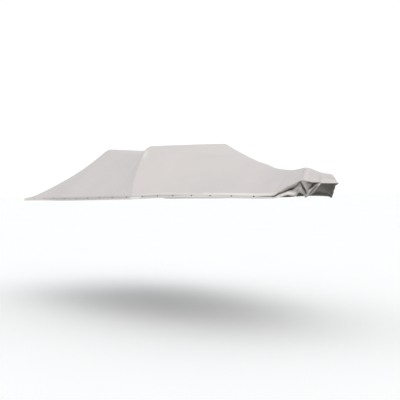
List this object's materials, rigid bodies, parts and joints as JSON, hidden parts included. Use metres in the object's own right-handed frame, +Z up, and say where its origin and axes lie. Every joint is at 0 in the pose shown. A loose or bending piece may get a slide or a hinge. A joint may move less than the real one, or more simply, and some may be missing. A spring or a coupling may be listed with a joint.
{
  "type": "fitted boat cover",
  "caption": "Fitted canvas cover for a small open boat, snapped along its hem, with a peak over the seats and a ridge over the windshield.",
  "frame": {"origin": "underside of the cloth at the middle of the windshield ridge, where the boat's windshield carries it", "axes": "+X towards the bow, +Y to port, +Z up"},
  "size_m": [5.2465, 2.33, 0.7312],
  "materials": {
    "canvas": "matte coated canvas",
    "snap_metal": "dark satin"
  },
  "bodies": {
    "root": {"aft_panel": "canvas", "forward_panel": "canvas", "snap_port_01": "snap_metal", "snap_port_02": "snap_metal", "snap_port_03": "snap_metal", "snap_port_04": "snap_metal", "snap_port_05": "snap_metal", "snap_port_06": "snap_metal", "snap_port_07": "snap_metal", "snap_port_08": "snap_metal", "snap_port_09": "snap_metal", "snap_port_10": "snap_metal", "snap_port_11": "snap_metal", "snap_port_12": "snap_metal", "snap_port_13": "snap_metal", "snap_port_14": "snap_metal", "snap_port_15": "snap_metal", "snap_port_16": "snap_metal", "snap_port_17": "snap_metal", "snap_port_18": "snap_metal", "snap_port_19": "snap_metal", "snap_port_20": "snap_metal", "snap_stbd_01": "snap_metal", "snap_stbd_02": "snap_metal", "snap_stbd_03": "snap_metal", "snap_stbd_04": "snap_metal", "snap_stbd_05": "snap_metal", "snap_stbd_06": "snap_metal", "snap_stbd_07": "snap_metal", "snap_stbd_08": "snap_metal", "snap_stbd_09": "snap_metal", "snap_stbd_10": "snap_metal", "snap_stbd_11": "snap_metal", "snap_stbd_12": "snap_metal", "snap_stbd_13": "snap_metal", "snap_stbd_14": "snap_metal", "snap_stbd_15": "snap_metal", "snap_stbd_16": "snap_metal", "snap_stbd_17": "snap_metal", "snap_transom_01": "snap_metal", "snap_transom_02": "snap_metal", "snap_transom_03": "snap_metal", "snap_transom_04": "snap_metal", "snap_transom_05": "snap_metal"}
  },
  "joints": []
}
